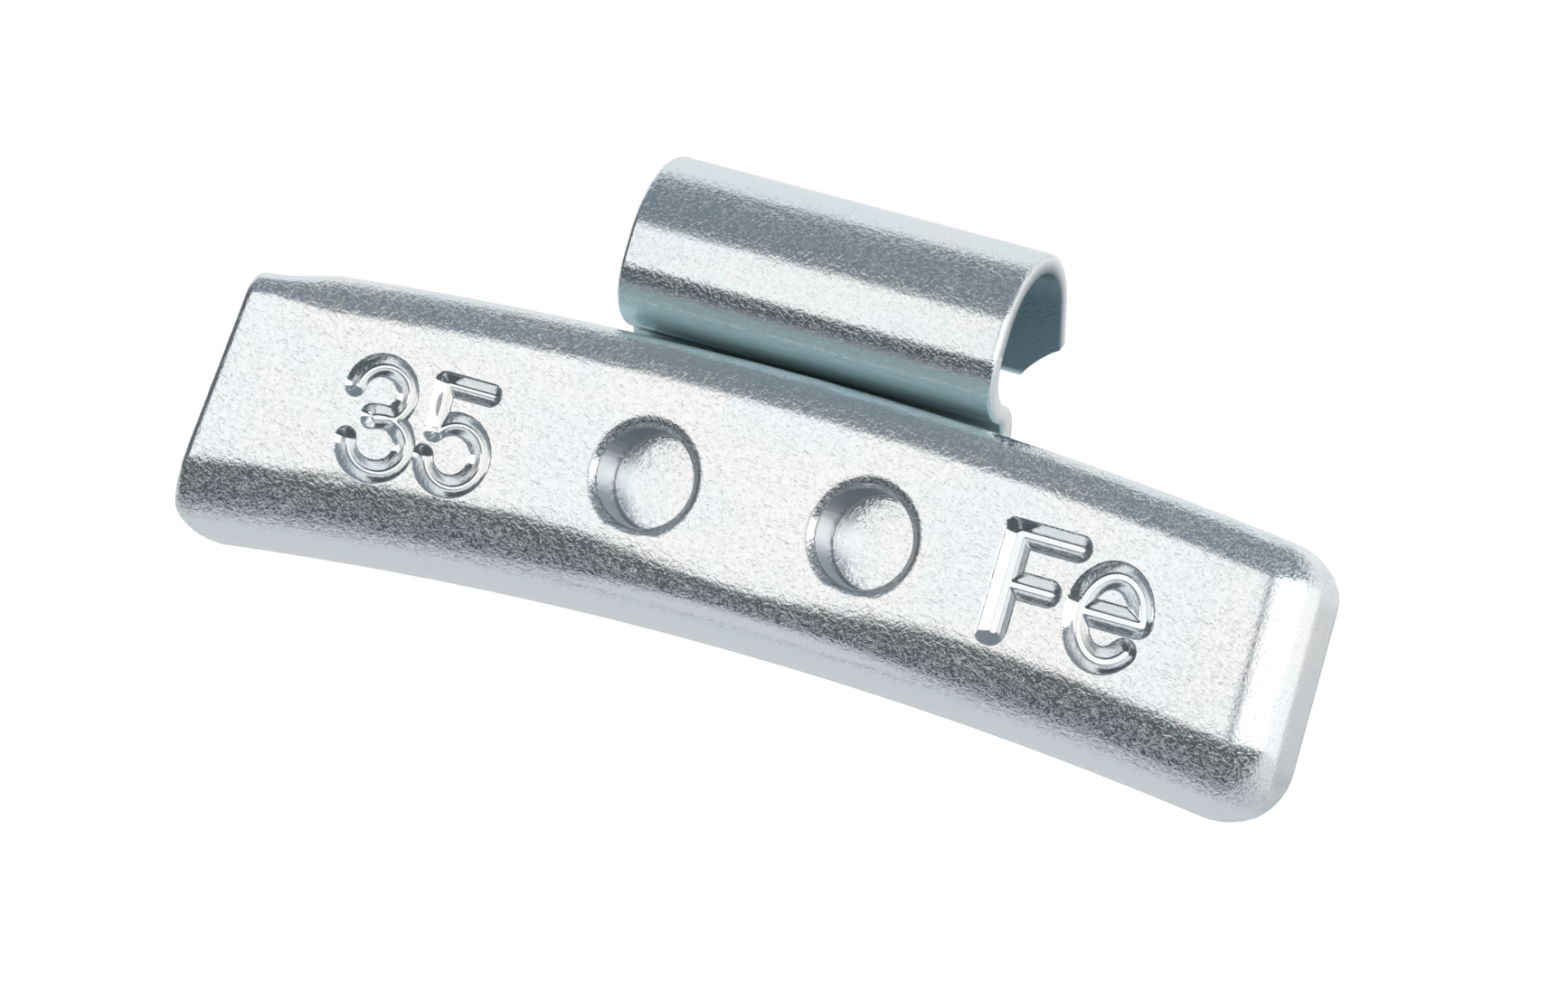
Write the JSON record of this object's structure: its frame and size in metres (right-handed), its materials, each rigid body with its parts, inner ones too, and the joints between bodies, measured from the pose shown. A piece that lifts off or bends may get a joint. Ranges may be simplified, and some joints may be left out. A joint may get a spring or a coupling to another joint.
{
  "type": "wheel balance weight",
  "caption": "Curved steel bar with a folded spring clip riveted to its back; the clip's hook grips a wheel's rim lip so that the bar's weight balances the wheel.",
  "frame": {"origin": "on the axis of the hook's round wall, where the rim's lip sits, halfway along the clip", "axes": "+X along the bar, +Y from the bar's front towards the wheel, +Z away from the wheel's axle"},
  "size_m": [0.0586, 0.0115, 0.0248],
  "materials": {
    "bar_zinc": "tumbled zinc plating with a bluish passivation, satin",
    "clip_zinc": "smooth zinc plating with a bluish passivation, bright"
  },
  "bodies": {
    "root": {"weight_body": "bar_zinc", "spring_clip": "clip_zinc"}
  },
  "joints": []
}
